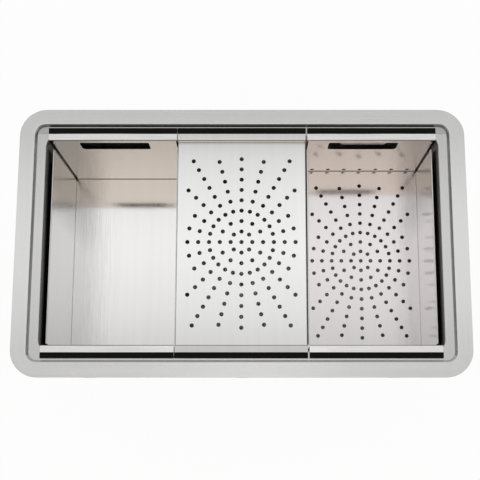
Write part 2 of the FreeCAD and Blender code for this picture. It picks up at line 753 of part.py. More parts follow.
def drainer_tray():
    plate_top = flange_top - TRAY_RECESS
    body = hanging_sheet(plate_top)
    half = accessory_length / 2
    reach = wall_inner - TRAY_LIP_END_GAP
    lips = []
    for low, high in ((half - ACCESSORY_SHEET, half), (-half, -half + ACCESSORY_SHEET)):
        lips.append(box(low, high, -reach, reach, plate_top - ACCESSORY_SHEET - TRAY_LIP, plate_top))
    body = body.fuse(lips).removeSplitter()

    def shoulder(b):
        along = b.YLength > reach and b.ZLength < TINY and abs(b.ZMin - plate_top) < TINY
        return along and abs(abs(b.XMin) - half) < TINY

    body = round_edges(body, TRAY_SHOULDER, shoulder)
    body = body.cut(pattern_cutters(plate_top))
    body.translate(Vec(tray_x, 0, 0))
    return body


# ---------------------------------------------------------------- every node

save("rim_deck", rim_deck())
save("rim_seal", rim_seal())
save("bowl_shell", bowl_shell())
for side_name in ("front", "back", "left", "right"):
    save("clip_rail_" + side_name, clip_rail(side_name))
    save("sound_pad_" + side_name, wall_pad(side_name))
save("sound_pad_floor", floor_pad())
save("worktop_clips", at_every_clip(clip()))
save("clip_screws", at_every_clip(clip_screw()))

save("strainer_body", strainer_body())
save("strainer_gasket", drain_ring(nut_bore, GASKET_RADIUS, gasket_underside, recess_underside))
save("friction_ring", drain_ring(nut_bore, LOCKNUT_RADIUS, friction_underside, gasket_underside))
save("strainer_locknut", strainer_locknut())
save("tailpiece", tailpiece())
save("tailpiece_washer", drain_ring(outlet_bore, OUTLET_RADIUS - THREAD_PLAY, washer_underside, outlet_foot))
save("tailpiece_nut", tailpiece_nut())
save("strainer_basket", strainer_basket())
save("basket_stopper", basket_stopper())
save("basket_post", basket_post())

save("bin_shell", bin_shell())
save("drainer_tray", drainer_tray())
save("colander_shell", colander_shell())
for accessory, x_place in (("bin", bin_x), ("tray", tray_x), ("colander", colander_x)):
    save(accessory + "_glide_back", glide(x_place, 1))
    save(accessory + "_glide_front", glide(x_place, -1))
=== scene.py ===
import math

import bpy
from bpy.props import FloatProperty, FloatVectorProperty, PointerProperty
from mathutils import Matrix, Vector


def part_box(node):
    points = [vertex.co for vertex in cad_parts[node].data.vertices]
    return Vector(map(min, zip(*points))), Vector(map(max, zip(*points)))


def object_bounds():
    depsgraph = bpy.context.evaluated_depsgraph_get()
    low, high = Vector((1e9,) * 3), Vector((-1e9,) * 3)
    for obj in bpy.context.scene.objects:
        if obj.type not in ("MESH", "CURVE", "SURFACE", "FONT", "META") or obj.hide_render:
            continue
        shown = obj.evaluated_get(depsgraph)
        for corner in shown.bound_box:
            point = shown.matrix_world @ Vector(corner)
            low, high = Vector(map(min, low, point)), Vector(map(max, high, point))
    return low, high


bl_info = {
    "name": "Workstation Sink",
    "version": (1, 0, 0),
    "blender": (4, 5, 0),
    "location": "3D View > Sidebar > Sink",
    "description": "Finishes and studio for a drop-in workstation kitchen sink",
    "category": "Object",
}

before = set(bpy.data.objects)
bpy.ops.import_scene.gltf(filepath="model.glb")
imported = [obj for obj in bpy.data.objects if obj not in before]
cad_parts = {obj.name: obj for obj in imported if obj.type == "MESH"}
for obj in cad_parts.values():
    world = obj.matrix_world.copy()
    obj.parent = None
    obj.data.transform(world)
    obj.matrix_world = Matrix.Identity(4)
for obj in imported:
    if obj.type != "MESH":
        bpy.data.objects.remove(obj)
cad_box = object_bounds()

# What the finishes line up with, read from the CAD nodes: the far corners of the rim and of the
# accessories' flanges, and the near corner of a glide, which stands on the ledge
rim_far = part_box("rim_deck")[1]
flange_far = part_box("bin_shell")[1]
glide_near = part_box("bin_glide_back")[0]
ledge_top = glide_near.z

# Steel that shows on a flange, from its glide to the inner face of the wall below it
FLANGE_BAND = 0.0135
wall_y = glide_near.y - FLANGE_BAND

# A little over the thickness of an accessory's sheet
SHEET = 0.0013


# ---------------------------------------------------------------- sizes and colours


def length(name, text, default, **extra):
    return FloatProperty(name=name, description=text, default=default, unit="LENGTH", **extra)


def share(name, text, default):
    return FloatProperty(name=name, description=text, default=default, min=0, max=1, subtype="FACTOR")


def colour(name, text, default):
    return FloatVectorProperty(name=name, description=text, default=default, min=0, max=1, subtype="COLOR")


class SteelSettings(bpy.types.PropertyGroup):
    """Colours and brushing of the stainless steel sheets."""

    rim_colour: colour("Rim", "Steel of the rim, step and ledge", (0.65, 0.65, 0.647))
    bowl_colour: colour("Bowl", "Steel of the bowl's shell", (0.58, 0.58, 0.575))
    bin_colour: colour("Bin", "Steel of the bin", (0.685, 0.68, 0.675))
    tray_colour: colour("Tray", "Steel of the drainer tray", (0.69, 0.687, 0.685))
    colander_colour: colour("Colander", "Steel of the colander's walls", (0.785, 0.772, 0.762))
    sieve_colour: colour("Colander floor", "Steel of its floor, a little pink", (0.63, 0.602, 0.606))
    flange_colour: colour("Flanges", "Steel of the accessories' flanges", (0.75, 0.742, 0.735))
    strainer_colour: colour("Strainer", "Steel of the strainer and its basket", (0.66, 0.66, 0.65))
    # Painted shade: a dark colour painted into folds, cut edges, holes, the ledge, the collar and the bowl's
    # mouth, where shade falls
    painted_shade_colour: colour("Painted shade", "What darkens folds, cut edges and the bowl's mouth", (0.03, 0.027, 0.023))
    roughness: share("Roughness", "Roughness of the bin and the tray", 0.1)
    sieve_roughness: share("Colander roughness", "Roughness of the colander", 0.14)
    bowl_roughness: share("Bowl roughness", "Roughness of the bowl", 0.32)
    rim_roughness: share("Rim roughness", "Roughness of the rim", 0.25)
    line_width: length("Line width", "Width of the finest brushing lines", 0.0005, precision=5)
    line_depth: length("Line depth", "Depth of the finest brushing lines", 0.00009, precision=6)
    streak_width: length("Streak width", "Width of one brushing streak", 0.0014, precision=5)
    streak_length: length("Streak length", "Length of one brushing streak", 0.16)


class SmallPartSettings(bpy.types.PropertyGroup):
    """Colours of the plastic, rubber and plated parts."""

    glide_colour: colour("Glides", "Black plastic of the glides", (0.004, 0.004, 0.0035))
    pad_colour: colour("Sound pads", "Rubber of the sound pads", (0.075, 0.077, 0.08))
    seal_colour: colour("Seal", "Foam seal under the rim", (0.03, 0.03, 0.03))
    rubber_colour: colour("Rubber", "Drain gasket and stopper", (0.014, 0.014, 0.014))
    rail_colour: colour("Rails", "Rolled steel of the clip rails", (0.5, 0.5, 0.495))
    clip_colour: colour("Clips", "Plated clips", (0.6, 0.6, 0.58))
    screw_colour: colour("Screws", "Yellow passivated screws", (0.62, 0.56, 0.42))
    screw_pitch: length("Screw pitch", "Pitch of the screws' thread", 0.001, precision=5)
    nut_colour: colour("Nuts", "Cast zinc nuts", (0.46, 0.46, 0.455))
    pipe_colour: colour("Tailpiece", "Chrome of the waste pipe", (0.78, 0.78, 0.785))
    card_colour: colour("Card ring", "Fibre ring above the lock nut", (0.31, 0.22, 0.13))
    nylon_colour: colour("Washer", "Nylon washer of the tailpiece", (0.76, 0.75, 0.7))


class StudioSettings(bpy.types.PropertyGroup):
    """Floor, light and camera."""

    floor_size: length("Floor size", "Side of the square floor", 14.0)
    floor_colour: colour("Floor", "Pale floor", (0.9, 0.9, 0.9))
    sides: share("Sides", "Share of light low down, at the sides", 0.7)
    front: share("Front", "Share of light low down, in front", 0.1)
    lens: FloatProperty(name="Lens", description="Focal length", default=50.6, unit="CAMERA")
    tilt: FloatProperty(
        name="Tilt",
        description="How far the camera leans to the back",
        default=math.radians(7.55),
        unit="ROTATION",
    )
    shift_x: FloatProperty(name="Shift X", description="Sideways lens shift", default=-0.029)
    shift_y: FloatProperty(name="Shift Y", description="Upright lens shift", default=0.2)
    place: FloatVectorProperty(
        name="Camera",
        description="Where the camera stands",
        default=(0.022, -0.336, 1.203),
        subtype="TRANSLATION",
    )


# ---------------------------------------------------------------- shader maths


class Value:
    """A number or colour that a node gives, worked on with Python's own arithmetic."""

    def __init__(self, recipe, socket):
        self.recipe = recipe
        self.socket = socket

    def math(self, operation, *terms):
        return self.recipe.node("Math", {"operation": operation}, dict(enumerate(terms)))

    def __add__(self, other):
        return self.math("ADD", self, other)

    def __radd__(self, other):
        return self.math("ADD", other, self)

    def __sub__(self, other):
        return self.math("SUBTRACT", self, other)

    def __rsub__(self, other):
        return self.math("SUBTRACT", other, self)

    def __mul__(self, other):
        return self.math("MULTIPLY", self, other)

    def __rmul__(self, other):
        return self.math("MULTIPLY", other, self)

    def __truediv__(self, other):
        return self.math("DIVIDE", self, other)

    def __pow__(self, other):
        return self.math("POWER", self, other)

    def __gt__(self, other):
        return self.math("GREATER_THAN", self, other)

    def __lt__(self, other):
        return self.math("LESS_THAN", self, other)

    def __abs__(self):
        return self.math("ABSOLUTE", self)

    def at_least(self, other):
        return self.math("MAXIMUM", self, other)

    def at_most(self, other):
        return self.math("MINIMUM", self, other)

    def clipped(self):
        return self.at_least(0.0).at_most(1.0)


class Recipe:
    """The nodes that make the finish of a material, or the light of a world."""

    def __init__(self, owner):
        self.owner = owner
        owner.use_nodes = True
        self.tree = owner.node_tree
        self.shader = self.tree.nodes.get("Principled BSDF")

    def node(self, kind, settings=None, values=None, output=0):
        """Adds a shader node, sets it up, feeds its sockets and gives one of its outputs."""
        made = self.tree.nodes.new("ShaderNode" + kind)
        for name, setting in (settings or {}).items():
            if name == "stops":
                stops = made.color_ramp.elements
                while len(stops) < len(setting):
                    stops.new(0.5)
                for stop, (place, shade) in zip(stops, setting):
                    stop.position = place
                    stop.color = (*shade, 1.0)
            else:
                setattr(made, name, setting)
        for name, value in (values or {}).items():
            self.feed(made.inputs[name], value)
        return Value(self, made.outputs[output])

    def feed(self, socket, value):
        """Links a value to a socket, or writes a constant into it."""
        if isinstance(value, Value):
            self.tree.links.new(value.socket, socket)
        elif socket.type == "RGBA" and len(value) == 3:
            socket.default_value = (*value, 1.0)
        else:
            socket.default_value = value

    def set(self, **values):
        """Feeds the Principled shader's sockets, named with underscores for spaces."""
        for name, value in values.items():
            self.feed(self.shader.inputs[name.replace("_", " ")], value)

    def split(self, vector):
        """X, Y and Z of a vector."""
        return [self.node("SeparateXYZ", values={0: vector}, output=i) for i in range(3)]

    def place(self):
        """X, Y and Z on the object, in metres."""
        return self.split(self.node("TexCoord", output="Object"))

    def facing(self):
        """X, Y and Z of the way the surface faces."""
        return self.split(self.node("TexCoord", output="Normal"))

    def vector(self, x, y, z=0.0):
        return self.node("CombineXYZ", values={0: x, 1: y, 2: z})

    def noise(self, vector, scale=1.0, detail=2.0):
        return self.node("TexNoise", values={"Vector": vector, "Scale": scale, "Detail": detail})

    def pebbles(self, vector, scale, output=0):
        return self.node("TexVoronoi", values={"Vector": vector, "Scale": scale}, output=output)

    def blend(self, factor, low, high):
        """A colour from low to high as factor goes from 0 to 1."""
        return self.node("Mix", {"data_type": "RGBA"}, {0: factor, 6: low, 7: high}, output=2)

    def mix(self, factor, low, high):
        """A number from low to high as factor goes from 0 to 1."""
        return low + (high - low) * factor

    def ease(self, value, start, end, low, high):
        """A number that goes gently from low to high as value goes from start to end."""
        return self.node(
            "MapRange",
            {"interpolation_type": "SMOOTHSTEP"},
            {0: value, 1: start, 2: end, 3: low, 4: high},
        )

    def bump(self, height, distance):
        return self.node("Bump", values={"Height": height, "Distance": distance})


def new_finish(name):
    return Recipe(bpy.data.materials.new(name))


def shaded(shade, factor):
    """A plain colour made lighter or darker, kept within 0 and 1."""
    return [min(1.0, max(0.0, part * factor)) for part in shade]


def paint(finish, *nodes):
    """Puts a finish into every material slot of the named CAD nodes."""
    for name in nodes:
        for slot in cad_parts[name].material_slots:
            slot.material = finish.owner


def nodes_named(part):
    """The CAD nodes with this in their names."""
    return [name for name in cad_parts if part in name]


# ---------------------------------------------------------------- grain of the steel

RIM_CORNER = 0.05
RIM_TAPER = 0.15
CORNER_SWIRL = 0.02
SWIRL_SCALE = 60.0
# Where the ledge's corners start, and how soon they swirl in full
LEDGE_CORNER_X, LEDGE_CORNER_Y, LEDGE_CORNER_FADE = 0.35, 0.19, 0.02

# How far a flange is taken to reach down from its top, and inwards from its edge
FLANGE_DEPTH, FLANGE_REACH = 0.003, 0.02

# A surface looks sideways, up or back where that part of its normal is above these, and is
# upright where its part along Z is below the last
SIDEWAYS, FLAT, BACKWARD, UPRIGHT = 0.7, 0.9, 0.3, 0.5


def round_the_rim(recipe, x, y, z):
    """Grain that follows the rim's outline all the way round, also through its corners."""
    out_x = (abs(x) - (rim_far.x - RIM_CORNER)).at_least(0.0)
    out_y = (abs(y) - (rim_far.y - RIM_CORNER)).at_least(0.0)
    outward = (out_x * out_x + out_y * out_y) ** 0.5
    inner = (abs(x) - rim_far.x).at_least(abs(y) - rim_far.y)
    at_x = ((abs(x) - LEDGE_CORNER_X) / LEDGE_CORNER_FADE).clipped()
    at_y = ((abs(y) - LEDGE_CORNER_Y) / LEDGE_CORNER_FADE).clipped()
    swirl = recipe.noise(recipe.vector(x, y), SWIRL_SCALE) * CORNER_SWIRL
    return outward + inner * RIM_TAPER + swirl * at_x * at_y * (z < 0.0), (x + y) * 0.5


def front_to_back(recipe, x, y, z):
    """Grain of a sheet folded across the bowl: along Y on floors, upright on front and back walls."""
    side = abs(recipe.facing()[0]) > SIDEWAYS
    return recipe.mix(side, x, z), recipe.mix(side, y + z, y)


def flanged(recipe, x, y, z):
    """Front to back as well, but along the sink on the flanges that hang on the ledge."""
    across, along = front_to_back(recipe, x, y, z)
    flange = (z > flange_far.z - FLANGE_DEPTH) * (abs(y) > flange_far.y - FLANGE_REACH)
    return recipe.mix(flange, across, y), recipe.mix(flange, along, x)


def around(recipe, x, y, z):
    """Grain of a turned part: rings about the drain's axis."""
    return (x * x + y * y) ** 0.5 + z, 1.0


def along_a_rail(recipe, x, y, z):
    """Grain of a rolled rail, level all the way along it."""
    return z, x + y


# ---------------------------------------------------------------- painted shade, and dull places

# How much painted shade darkens a place, where 1 is all of it
LEDGE_PAINTED_SHADE, BACK_LEDGE_PAINTED_SHADE, COLLAR_PAINTED_SHADE, MOUTH_PAINTED_SHADE = 0.15, 0.35, 0.8, 0.85
FOLD_PAINTED_SHADE, FOOT_PAINTED_SHADE, TAB_PAINTED_SHADE, SIDE_PAINTED_SHADE, MOST_PAINTED_SHADE = 0.55, 0.5, 0.6, 0.36, 0.93
TRAY_BORE_PAINTED_SHADE, TRAY_EDGE_PAINTED_SHADE, SIEVE_BORE_PAINTED_SHADE = 0.1, 0.6, 0.93

# How much of its mirror a place loses
STEP_MATT, FOLD_MATT = 0.8, 0.8

# Drop below the ledge in which the painted shade on the collar deepens, drop to which the painted
# shade in the bowl's mouth is at its darkest, and the further drop in which that fades
COLLAR_FADE, MOUTH_DEPTH, MOUTH_FADE = 0.003, 0.045, 0.03

# An end wall looks at the sink's middle where its X, times the way it faces, is below this
INWARD = -0.1

# Holes keep these distances from the side walls and from the end walls
HOLES_FROM_SIDE, HOLES_FROM_END = 0.006, 0.01

# The grip's tab starts this far below the flange
TAB_DROP = 0.009

# Y at which painted shade starts to darken the side walls towards the back, and how far that takes
SHADE_FROM, SHADE_FADE = 0.05, 0.07

# Thickness, from the top or bottom of an accessory, that counts as its flange or its floor
FLANGE_TOP, FLOOR_DEPTH = 0.001, 0.003
# Share of the flange colour on the tray's front flange: painted shade, darker than its other flanges
TRAY_FRONT_FLANGE_PAINTED_SHADE = 0.8


def inward(recipe, x):
    """1 where an end wall looks at the sink's middle."""
    return (x * recipe.facing()[0]) < INWARD


def bend(one, other):
    """1 halfway round a fold, from the two parts of its normal, and 0 on the flats beside it."""
    return one * other * 2.0


def painted_shade_free_rim(recipe, x, y, z):
    """Painted shade: the ledge is a little darker, most at the back, and the inside of its collar is dark.
    """
    ledge = recipe.mix(y > glide_near.y, LEDGE_PAINTED_SHADE, BACK_LEDGE_PAINTED_SHADE) * (z < 0.0)
    depth = ((ledge_top - z) / COLLAR_FADE).clipped()
    return 1.0 - ledge - depth * inward(recipe, x) * COLLAR_PAINTED_SHADE


def matt_rim(recipe, x, y, z):
    """The front step, which would else mirror the black glides."""
    return (y < -wall_y) * (recipe.facing()[1] > BACKWARD) * STEP_MATT


def painted_shade_free_bowl(recipe, x, y, z):
    """Painted shade: dark just under the rim, where the gaps beside the accessories look in."""
    depth = ((z + (MOUTH_DEPTH + MOUTH_FADE)) / MOUTH_FADE).clipped()
    return 1.0 - depth * inward(recipe, x) * MOUTH_PAINTED_SHADE


def painted_shade_free_shell(node, bores, edges):
    """Painted shade along an accessory's folds, at the foot of its walls, in its holes, on its grip and side
    edges, and towards the back of its side walls.
    """
    low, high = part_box(node)
    middle, half = (low.x + high.x) / 2, (high.x - low.x) / 2

    def painted_shade_free(recipe, x, y, z):
        face_x, face_y, face_z = (abs(part) for part in recipe.facing())
        out = abs(x - middle)
        foot = (z < low.z + 2 * SHEET) * (abs(y) > wall_y - SHEET)
        inside = (out < half - HOLES_FROM_SIDE) * (abs(y) < wall_y - HOLES_FROM_END)
        bore = (face_z < UPRIGHT) * inside
        tab = (abs(y) > wall_y + SHEET) * (z < high.z - TAB_DROP)
        side = ((y - SHADE_FROM) / SHADE_FADE).clipped() * (face_x > SIDEWAYS)
        edge = (out > half - SHEET) * (abs(y) < wall_y)
        walls = bend(face_y, face_z) * FOLD_PAINTED_SHADE + foot * FOOT_PAINTED_SHADE + side * SIDE_PAINTED_SHADE
        dark = walls + bore * bores + tab * TAB_PAINTED_SHADE + edge * edges
        return 1.0 - dark.at_most(MOST_PAINTED_SHADE)

    return painted_shade_free


def matt_shell(recipe, x, y, z):
    """The folds between a floor and the side walls, which shine softly."""
    face_x, face_y, face_z = (abs(part) for part in recipe.facing())
    return bend(face_x, face_z) * FOLD_MATT


def shell_patches(node, flange, floor=None):
    """The flanges of an accessory, the tray's front flange darker with painted shade, and its floor where
    that has a colour of its own.
    """
    low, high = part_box(node)

    def patches(recipe, x, y, z):
        up = recipe.facing()[2] > FLAT
        top = up * (z > high.z - FLANGE_TOP)
        found = [(top, flange)]
        if node == "drainer_tray":
            # Painted shade: the tray's front flange is darker than its other flanges
            found.append((top * (y < 0.0), shaded(flange, TRAY_FRONT_FLANGE_PAINTED_SHADE)))
        if floor:
            found.append((up * (z < low.z + FLOOR_DEPTH), floor))
        return found

    return patches


# ---------------------------------------------------------------- finishes

# How fine each pattern is: the sizes that fit into a metre
CLOUD_SCALE, STAIN_SCALE, BLOTCH_SCALE, SPANGLE_SCALE, GRIT_SCALE = 9.0, 14.0, 60.0, 420.0, 900.0

# How far a finish goes below and above its colour
STEEL_TONES, PLATE_TONES, SKIN_TONES, GLIDE_TONES = (0.9, 1.09), (0.82, 1.14), (0.72, 1.35), (1.0, 2.2)

# Shares of the streaks, of the bands that they form and of the clouds in the tone of steel, and
# shares of the streaks and clouds in its roughness and of the streaks in its height
STREAKS, BANDS, CLOUDS = 0.35, 0.3, 0.2
ROUGH_STREAKS, ROUGH_CLOUDS, HIGH_STREAKS = 0.1, 0.08, 0.2
# A band's width and length, in streaks
BAND_WIDTH, BAND_LENGTH = 9, 4

# Shares of the spangle and the blotches in the tone of plating, of the blotches in its roughness,
# and of the blotches and a thread in its height
SPANGLES, BLOTCHES, ROUGH_BLOTCHES, HIGH_BLOTCHES, HIGH_THREAD = 0.35, 0.9, 0.25, 0.3, 2.0
PLATE_DEPTH = 0.0002

# Shares of the stains and the pebbles in the tone of a skin, and of the stains in its roughness,
# and the height on a pebble at which it leaves the tone as it is
STAINS, PEBBLES, ROUGH_STAINS, PEBBLE_MIDDLE = 1.1, 0.4, 0.2, 0.4

# Sizes of a glide's scuffs that fit into a metre along it and across it, their shares in its tone
# and roughness, how light the plastic is between them, and how deep its grit is
SCUFFS_ALONG, SCUFFS_ACROSS = 8, 120
SCUFFS, ROUGH_SCUFFS, SCUFF_MIDDLE, GRIT_DEPTH = 1.6, 0.2, 0.4, 0.00015


def varied(recipe, tone, base, tones):
    """The finish's own colour, from its dark tone to its light one as tone goes from 0 to 1."""
    dark, light = tones
    return recipe.blend(tone, shaded(base, dark), shaded(base, light))


def brushed(name, base, roughness, grain, steel, painted_shade_free=None, patches=None, matt=None):
    """Brushed sheet: streaks along the grain in tone and height, with soft clouds of wear.

    For a place, painted_shade_free gives how free of painted shade the steel is, patches gives masks
    with colours of their own, and matt gives where it loses its mirror.
    """
    recipe = new_finish(name)
    x, y, z = recipe.place()
    across, along = grain(recipe, x, y, z)

    def strokes(width, run, detail):
        return recipe.noise(recipe.vector(across / width, along / run), detail=detail)

    lines = strokes(steel.line_width, steel.streak_length, detail=1.0)
    streaks = strokes(steel.streak_width, steel.streak_length, detail=3.0) - 0.5
    bands = strokes(steel.streak_width * BAND_WIDTH, steel.streak_length * BAND_LENGTH, detail=2.0) - 0.5
    clouds = recipe.noise(recipe.vector(x, y, z), CLOUD_SCALE, detail=3.0) - 0.5
    tone = (streaks * STREAKS + bands * BANDS + clouds * CLOUDS + 0.5).clipped()
    metal = varied(recipe, tone, base, STEEL_TONES)
    for mask, other in patches(recipe, x, y, z) if patches else ():
        metal = recipe.blend(mask, metal, varied(recipe, tone, other, STEEL_TONES))
    if painted_shade_free:
        # Painted shade: the dark colour goes in where the map says shade falls
        metal = recipe.blend(painted_shade_free(recipe, x, y, z), steel.painted_shade_colour, metal)
    recipe.set(
        Base_Color=metal,
        Metallic=1.0 - matt(recipe, x, y, z) if matt else 1.0,
        Roughness=streaks * ROUGH_STREAKS + clouds * ROUGH_CLOUDS + roughness,
        Normal=recipe.bump(lines + streaks * HIGH_STREAKS, steel.line_depth),
    )
    return recipe


def plated(name, base, roughness, thread=None):
    """Plating with a faint spangle, and a thread's ridges up Z where a pitch is given."""
    recipe = new_finish(name)
    x, y, z = recipe.place()
    where = recipe.vector(x, y, z)
    spangle = recipe.split(recipe.pebbles(where, SPANGLE_SCALE, output="Color"))[0] - 0.5
    blotch = recipe.noise(where, BLOTCH_SCALE, detail=4.0) - 0.5
    tone = (spangle * SPANGLES + blotch * BLOTCHES + 0.5).clipped()
    height = blotch * HIGH_BLOTCHES
    if thread:
        ridge = recipe.node("Math", {"operation": "PINGPONG"}, {0: z, 1: thread / 2}) / (thread / 2)
        height = height + ridge * HIGH_THREAD
    recipe.set(
        Base_Color=varied(recipe, tone, base, PLATE_TONES),
        Metallic=1.0,
        Roughness=blotch * ROUGH_BLOTCHES + roughness,
        Normal=recipe.bump(height, PLATE_DEPTH),
    )
    return recipe


def grained(name, base, roughness, scale, depth):
    """A matt skin with pebbles of one size and faint larger stains."""
    recipe = new_finish(name)
    where = recipe.vector(*recipe.place())
    pebble = recipe.pebbles(where, scale)
    stain = recipe.noise(where, STAIN_SCALE, detail=4.0) - 0.5
    tone = (stain * STAINS + (pebble - PEBBLE_MIDDLE) * PEBBLES + 0.5).clipped()
    recipe.set(
        Base_Color=varied(recipe, tone, base, SKIN_TONES),
        Roughness=stain * ROUGH_STAINS + roughness,
        Normal=recipe.bump(pebble, depth),
    )
    return recipe


def scuffed(name, base, roughness):
    """Fine matt plastic with scuffs along the way it slides, and next to no shine."""
    recipe = new_finish(name)
    x, y, z = recipe.place()
    grit = recipe.noise(recipe.vector(x, y, z), GRIT_SCALE)
    along = recipe.vector(x * SCUFFS_ALONG, y * SCUFFS_ACROSS, z * SCUFFS_ACROSS)
    scuff = recipe.noise(along, detail=3.0) - 0.5
    recipe.set(
        Base_Color=varied(recipe, (scuff * SCUFFS + SCUFF_MIDDLE).clipped(), base, GLIDE_TONES),
        Roughness=scuff * ROUGH_SCUFFS + roughness,
        Specular_IOR_Level=0.05,
        Normal=recipe.bump(grit, GRIT_DEPTH),
    )
    return recipe


def accessory(name, node, base, roughness, grain, steel, floor=None, bores=0.0, edges=0.0):
    """Brushes one accessory, with its flanges, folds and holes."""
    painted_shade_free = painted_shade_free_shell(node, bores, edges)
    patches = shell_patches(node, steel.flange_colour, floor)
    paint(brushed(name, base, roughness, grain, steel, painted_shade_free, patches, matt_shell), node)


class SINK_OT_finish_rim(bpy.types.Operator):
    """Brushes the rim, its step and the ledge"""

    bl_idname = "sink.finish_rim"
    bl_label = "Finish Rim"

    def execute(self, context):
        steel = context.scene.sink_steel
        rim = brushed(
            "Rim steel", steel.rim_colour, steel.rim_roughness, round_the_rim, steel,
            painted_shade_free=painted_shade_free_rim, matt=matt_rim,
        )
        paint(rim, "rim_deck")
        return {"FINISHED"}


class SINK_OT_finish_bowl(bpy.types.Operator):
    """Brushes the bowl's shell"""

    bl_idname = "sink.finish_bowl"
    bl_label = "Finish Bowl"

    def execute(self, context):
        steel = context.scene.sink_steel
        bowl = brushed(
            "Bowl steel", steel.bowl_colour, steel.bowl_roughness, front_to_back, steel,
            painted_shade_free=painted_shade_free_bowl,
        )
        paint(bowl, "bowl_shell")
        return {"FINISHED"}


class SINK_OT_finish_accessories(bpy.types.Operator):
    """Brushes the bin, the drainer tray and the colander"""

    bl_idname = "sink.finish_accessories"
    bl_label = "Finish Accessories"

    def execute(self, context):
        steel = context.scene.sink_steel
        accessory("Bin steel", "bin_shell", steel.bin_colour, steel.roughness, flanged, steel)
        accessory(
            "Tray steel", "drainer_tray", steel.tray_colour, steel.roughness, front_to_back, steel,
            bores=TRAY_BORE_PAINTED_SHADE, edges=TRAY_EDGE_PAINTED_SHADE,
        )
        accessory(
            "Colander steel", "colander_shell", steel.colander_colour, steel.sieve_roughness, flanged,
            steel, floor=steel.sieve_colour, bores=SIEVE_BORE_PAINTED_SHADE,
        )
        return {"FINISHED"}


class SINK_OT_finish_glides(bpy.types.Operator):
    """Gives the glides their fine matt black"""

    bl_idname = "sink.finish_glides"
    bl_label = "Finish Glides"

    def execute(self, context):
        small = context.scene.sink_small_parts
        paint(scuffed("Glide plastic", small.glide_colour, roughness=0.5), *nodes_named("_glide_"))
        return {"FINISHED"}


class SINK_OT_finish_clamps(bpy.types.Operator):
    """Finishes the rails, clips and screws that hold the sink to the worktop"""

    bl_idname = "sink.finish_clamps"
    bl_label = "Finish Clamps"

    def execute(self, context):
        small = context.scene.sink_small_parts
        steel = context.scene.sink_steel
        rail = brushed("Rail steel", small.rail_colour, roughness=0.38, grain=along_a_rail, steel=steel)
        paint(rail, *nodes_named("clip_rail_"))
        paint(plated("Clip plating", small.clip_colour, roughness=0.36), "worktop_clips")
        screw = plated("Screw plating", small.screw_colour, roughness=0.33, thread=small.screw_pitch)
        paint(screw, "clip_screws")
        return {"FINISHED"}


class SINK_OT_finish_pads(bpy.types.Operator):
    """Finishes the sound pads and the foam seal"""

    bl_idname = "sink.finish_pads"
    bl_label = "Finish Pads and Seal"

    def execute(self, context):
        small = context.scene.sink_small_parts
        pad = grained("Pad rubber", small.pad_colour, roughness=0.82, scale=260.0, depth=0.0005)
        paint(pad, *nodes_named("sound_pad_"))
        seal = grained("Seal foam", small.seal_colour, roughness=0.9, scale=700.0, depth=0.0003)
        paint(seal, "rim_seal")
        return {"FINISHED"}


class SINK_OT_finish_drain(bpy.types.Operator):
    """Finishes the strainer, its fixings and the tailpiece"""

    bl_idname = "sink.finish_drain"
    bl_label = "Finish Drain"

    def execute(self, context):
        small = context.scene.sink_small_parts
        steel = context.scene.sink_steel
        turned = brushed("Strainer steel", steel.strainer_colour, roughness=0.26, grain=around, steel=steel)
        paint(turned, "strainer_body")
        rubber = grained("Drain rubber", small.rubber_colour, roughness=0.6, scale=900.0, depth=0.0001)
        paint(rubber, "strainer_gasket")
        card = grained("Ring card", small.card_colour, roughness=0.88, scale=600.0, depth=0.0002)
        paint(card, "friction_ring")
        zinc = plated("Nut zinc", small.nut_colour, roughness=0.45)
        paint(zinc, "strainer_locknut", "tailpiece_nut")
        paint(plated("Tailpiece chrome", small.pipe_colour, roughness=0.12), "tailpiece")
        nylon = grained("Washer nylon", small.nylon_colour, roughness=0.5, scale=500.0, depth=0.0001)
        paint(nylon, "tailpiece_washer")
        return {"FINISHED"}


class SINK_OT_finish_basket(bpy.types.Operator):
    """Finishes the strainer basket, its post and its stopper"""

    bl_idname = "sink.finish_basket"
    bl_label = "Finish Basket"

    def execute(self, context):
        small = context.scene.sink_small_parts
        steel = context.scene.sink_steel
        satin = brushed("Basket steel", steel.strainer_colour, roughness=0.24, grain=around, steel=steel)
        paint(satin, "strainer_basket", "basket_post")
        rubber = grained("Stopper rubber", small.rubber_colour, roughness=0.55, scale=900.0, depth=0.0001)
        paint(rubber, "basket_stopper")
        return {"FINISHED"}


# ---------------------------------------------------------------- studio

WHITE, WARM = (1.0, 1.0, 1.0), (1.0, 0.9, 0.8)
# Slope of the way up (back is plus), brightness of the room there and its tint
SKY = (
    (-1.0, 0.72, WHITE),
    (-0.6, 0.72, WHITE),
    (-0.46, 0.8, WARM),
    (-0.4, 1.3, WARM),
    (-0.3, 1.3, WARM),
    (-0.15, 0.7, WHITE),
    (0.09, 0.62, WHITE),
    (0.13, 0.76, WHITE),
    (0.17, 0.92, WHITE),
    (0.27, 1.09, WHITE),
    (0.37, 0.96, WHITE),
    (0.48, 0.64, WHITE),
    (1.0, 0.62, WHITE),
)
# Brightness that a ramp colour of 1 stands for
SKY_FULL = 1.5

# Least height of a way up for its slope, so that level ways give one too
LEAST_HEIGHT = 0.1
# Heights of a way between which the light low down goes over into the ceiling's
LOW, HIGH = 0.05, 0.45
# Y of a way low down, up to which it meets the front's light, and from which the sides' light
FRONT, SIDES = -0.8, -0.2

# Share of white that the camera sees on the floor, which leaves the rest to the shadow
FLOOR_WHITE = 0.95
# How fine the floor's tones are, in sizes that fit into a metre, and how dark they get
FLOOR_SCALE, FLOOR_DARK = 3.0, 0.99
SENSOR_WIDTH = 36.0
CLIP_START, CLIP_END = 0.01, 50.0


